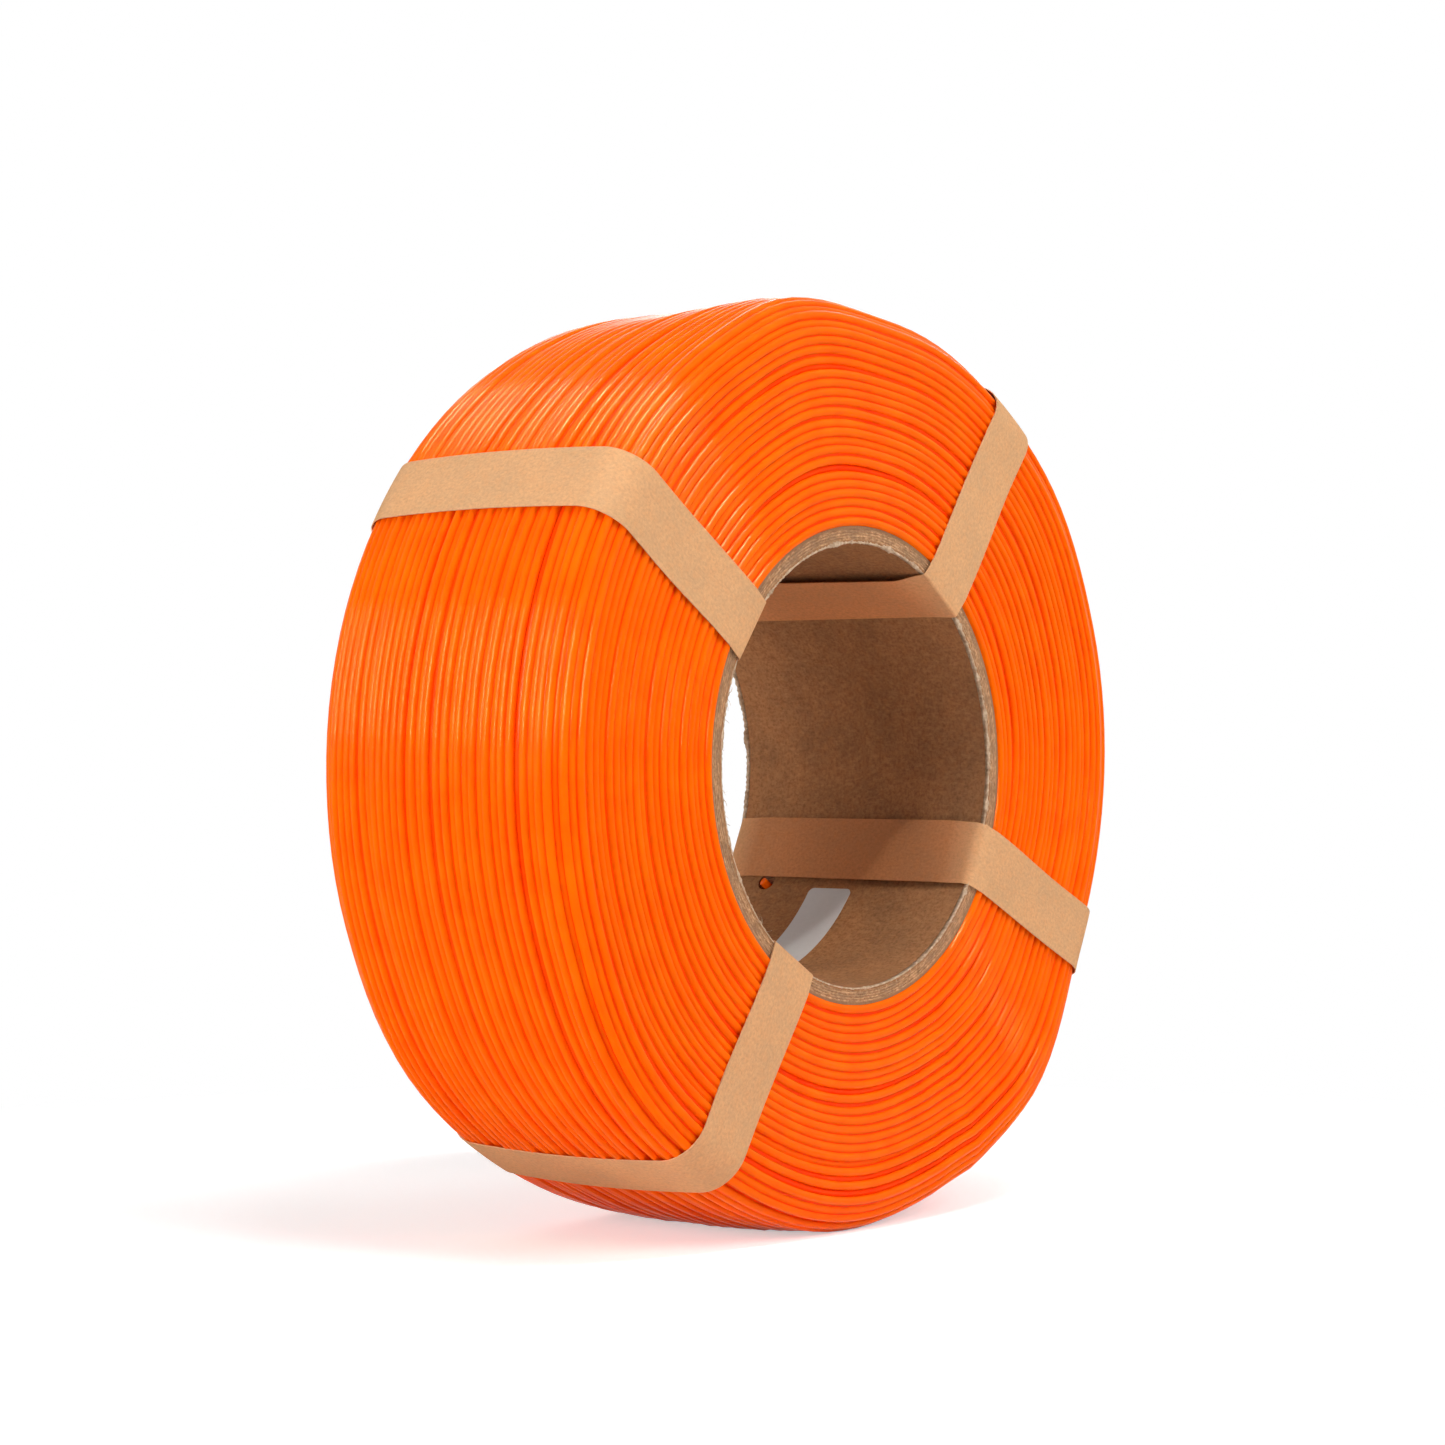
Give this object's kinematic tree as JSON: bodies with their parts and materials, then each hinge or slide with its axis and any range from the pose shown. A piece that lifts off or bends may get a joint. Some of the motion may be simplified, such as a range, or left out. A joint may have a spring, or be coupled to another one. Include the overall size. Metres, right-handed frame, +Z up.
{
  "type": "filament spool",
  "caption": "Flangeless refill coil of round plastic filament on a paperboard core, tied with paper straps, that slides onto the hub of a reusable spool.",
  "frame": {"origin": "middle of the core's bore, halfway along the core", "axes": "+Y along the bore axis from the front face to the back face, +Z up, +X to the right seen from the front; the coil stands upright on its outer turns"},
  "size_m": [0.1842, 0.0644, 0.184],
  "materials": {
    "core_board": "matte",
    "core_liner": "matte",
    "core_ply": "matte",
    "filament": "satin",
    "strap_paper": "matte",
    "label_paper": "matte"
  },
  "bodies": {
    "root": {"core_board": "core_board", "core_liner": "core_liner", "core_ply": "core_ply", "winding": "filament", "outer_turns": "filament", "start_end": "filament", "strap_1": "strap_paper", "strap_2": "strap_paper", "strap_3": "strap_paper", "strap_4": "strap_paper", "label": "label_paper"}
  },
  "joints": []
}
